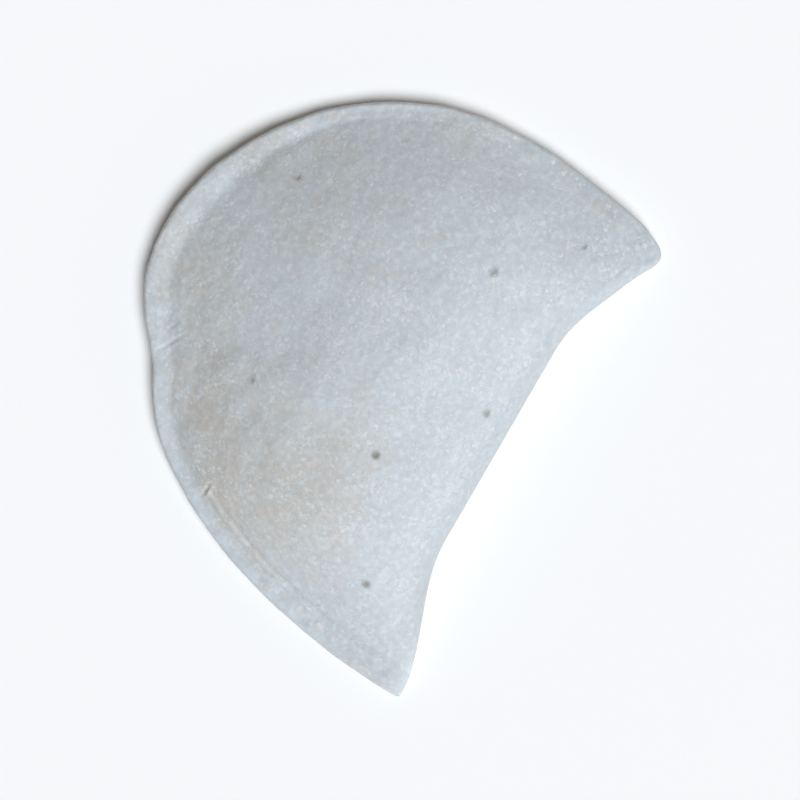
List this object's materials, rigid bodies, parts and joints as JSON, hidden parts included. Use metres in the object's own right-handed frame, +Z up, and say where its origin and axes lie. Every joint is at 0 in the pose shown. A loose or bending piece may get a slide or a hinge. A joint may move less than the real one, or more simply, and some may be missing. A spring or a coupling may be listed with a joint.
{
  "type": "panzerotto",
  "caption": "Raw folded dough turnover, half-moon shaped and floured, with a domed belly, a pressed sealed rim and small pricked holes.",
  "frame": {"origin": "on the surface that the piece lies on, under the middle of its bounding box", "axes": "+X from the left tip to the right tip along the fold, +Y from the fold to the crown of the rim, +Z up"},
  "size_m": [0.15, 0.1216, 0.0254],
  "materials": {
    "floured_dough": "matte"
  },
  "bodies": {
    "root": {"panzerotto": "floured_dough"}
  },
  "joints": []
}
